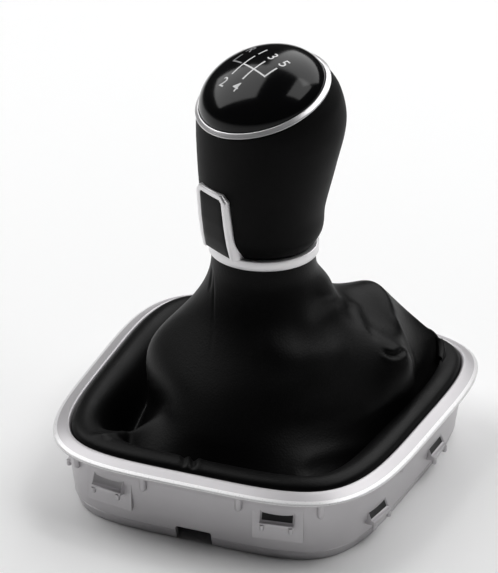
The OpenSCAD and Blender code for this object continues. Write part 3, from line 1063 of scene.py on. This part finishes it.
def makeInlay():
    size = inlaySize
    clearSelection()
    bpy.ops.mesh.primitive_grid_add(x_subdivisions=24, y_subdivisions=32, size=2)
    inlay = bpy.context.object
    inlay.name = "windowInlay"
    inlay.data.name = "windowInlay"
    points = meshPoints(inlay) * mm
    height = size["foot"] + (points[:, 1] + 1) / 2 * size["tall"]
    half = size["halfWidth"] - height * size["taper"]
    toEdge = np.maximum(np.abs(points[:, 0]), np.abs(points[:, 1]))
    depth = -size["sunk"] - size["edgeDrop"] * toEdge ** size["edgeSharpness"]
    setMeshPoints(inlay, driverFace(points[:, 0] * half, height, 1.0, depth))
    wall = inlay.modifiers.new("wall", "SOLIDIFY")
    wall.thickness = size["thickness"] * mm
    wall.offset = 1
    applyModifiers(inlay)
    pick(inlay)
    bpy.ops.object.mode_set(mode="EDIT")
    bpy.ops.mesh.select_all(action="SELECT")
    bpy.ops.mesh.normals_make_consistent(inside=False)
    bpy.ops.object.mode_set(mode="OBJECT")
    inlay.data.transform(knobTurn)
    smoothByAngle(inlay, 40)
    dress(inlay, "windowBlack")
    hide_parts("window_inlay")
    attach(inlay, "knob")
    return inlay


gateSize = {
    "line": 0.62,
    "thickness": 0.05,
    "lift": 0.02,
    "strokes": [
        ((-2.75, -1.55), (9.05, -1.55)),
        ((-3.0, -7.2), (-3.0, 3.75)),
        ((3.1, -7.1), (3.1, 3.75)),
        ((9.05, -1.86), (9.05, 4.15)),
    ],
    "rubbedStrokes": [((-9.65, -1.86), (-9.65, 2.8)), ((-9.65, -1.55), (-4.3, -1.55))],
    "marks": [("1", -2.9, 7.0), ("3", 2.9, 7.2), ("5", 8.75, 7.4), ("2", -3.5, -11.2), ("4", 3.3, -10.7)],
    "rubbedMarks": [("R", -9.6, 6.5)],
    "markSize": 5.6,
    "bold": 0.03,
}


def gateStroke(start, end):
    start, end = Vector(start), Vector(end)
    clearSelection()
    bpy.ops.mesh.primitive_plane_add(size=2)
    stroke = bpy.context.object
    run = end - start
    points = meshPoints(stroke) * mm
    across = Vector((-run.y, run.x)).normalized() * gateSize["line"] / 2
    placed = [start + run * (x + 1) / 2 + across * y for x, y in points[:, :2]]
    setMeshPoints(stroke, np.array([(p.x, p.y, 0) for p in placed]))
    return stroke


def gateMark(text, x, y):
    clearSelection()
    bpy.ops.object.text_add()
    mark = bpy.context.object
    mark.data.body = text
    mark.data.size = gateSize["markSize"] * mm
    mark.data.offset = gateSize["bold"] * mm
    mark.data.align_x = "CENTER"
    mark.data.align_y = "CENTER"
    bpy.ops.object.convert(target="MESH")
    mark.data.transform(Matrix.Translation(Vector((x, y, 0)) * mm))
    return mark


def printOnCap(name, pieces, coat):
    # Flat marks are cut finely, laid on the dome and given a film's thickness
    marks = joinPieces(name, pieces)
    bpy.ops.object.mode_set(mode="EDIT")
    bpy.ops.mesh.select_all(action="SELECT")
    bpy.ops.mesh.quads_convert_to_tris()
    bpy.ops.mesh.subdivide(number_cuts=3)
    bpy.ops.object.mode_set(mode="OBJECT")
    points = meshPoints(marks)
    points[:, 2] = domeHeight(np.hypot(points[:, 0], points[:, 1])) + gateSize["lift"]
    setMeshPoints(marks, points)
    film = marks.modifiers.new("film", "SOLIDIFY")
    film.thickness = gateSize["thickness"] * mm
    film.offset = 0
    applyModifiers(marks)
    marks.data.transform(capPlace)
    smoothByAngle(marks, 30)
    dress(marks, coat)
    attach(marks, "knob")
    return marks


def makeGate():
    strokes = [gateStroke(a, b) for a, b in gateSize["strokes"]]
    marks = [gateMark(*mark) for mark in gateSize["marks"]]
    printOnCap("gatePattern", strokes + marks, "gateWhite")
    rubbed = [gateStroke(a, b) for a, b in gateSize["rubbedStrokes"]]
    rubbedMarks = [gateMark(*mark) for mark in gateSize["rubbedMarks"]]
    printOnCap("gateReverse", rubbed + rubbedMarks, "gateRubbed")


makeGrip()
makeCap()
makeUpperRing()
makeCollar()
makeInlay()
makeGate()
print("knob made")

# Hidden CAD parts that stay as they are

innerFinishes = {
    "gaiter_retainer": "innerPlastic",
    "gaiter_neck_ring": "innerPlastic",
    "knob_core": "innerPlastic",
    "lever_sleeve": "sleeveMetal",
    "lever_clamp": "clampSteel",
}
for name, coat in innerFinishes.items():
    dress(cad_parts[name], coat)
print("hidden parts dressed")

# Floor and lights

studioSize = {
    "floorRadius": 6,
    "aim": (0, 0, 0.06),
    "skyColour": (0.9, 0.9, 0.92),
    "skyStrength": 0.03,
    # name, azimuth, elevation, distance, width, height, watts
    "lights": [
        ("leftBox", -97, 48, 1.4, 1.2, 1.3, 12.5),
        ("backBox", 165, 48, 1.5, 1.6, 1.2, 15),
        ("rightBox", 98, 58, 1.4, 0.8, 0.8, 5),
    ],
}


def paleFinish():
    pale = newFinish("paleFloor", (0.94, 0.94, 0.94), 0.7, specular=0.2)
    space = node(pale, "ShaderNodeTexCoord")
    tint(pale, noise(pale, space, 3, 2), (0.93, 0.93, 0.93), (0.95, 0.95, 0.95))
    return pale


finishes["paleFloor"] = paleFinish()
clearSelection()
bpy.ops.mesh.primitive_circle_add(vertices=96, radius=studioSize["floorRadius"], fill_type="NGON")
floor = bpy.context.object
floor.name = "floor"
dress(floor, "paleFloor")

aim = Vector(studioSize["aim"])
for name, azimuth, elevation, distance, width, height, watts in studioSize["lights"]:
    way = wayTowards(azimuth, elevation)
    bpy.ops.object.light_add(type="AREA", location=aim + way * distance)
    lamp = bpy.context.object
    lamp.name = name
    lamp.data.shape = "RECTANGLE"
    lamp.data.size = width
    lamp.data.size_y = height
    lamp.data.energy = watts
    lamp.rotation_mode = "QUATERNION"
    lamp.rotation_quaternion = (-way).to_track_quat("-Z", "Y")

world = bpy.data.worlds.new("studio")
bpy.context.scene.world = world
world.use_nodes = True
sky = world.node_tree.nodes["Background"]
sky.inputs["Color"].default_value = (*studioSize["skyColour"], 1)
sky.inputs["Strength"].default_value = studioSize["skyStrength"]
bpy.context.scene.view_settings.view_transform = "Standard"
print("stage lit")
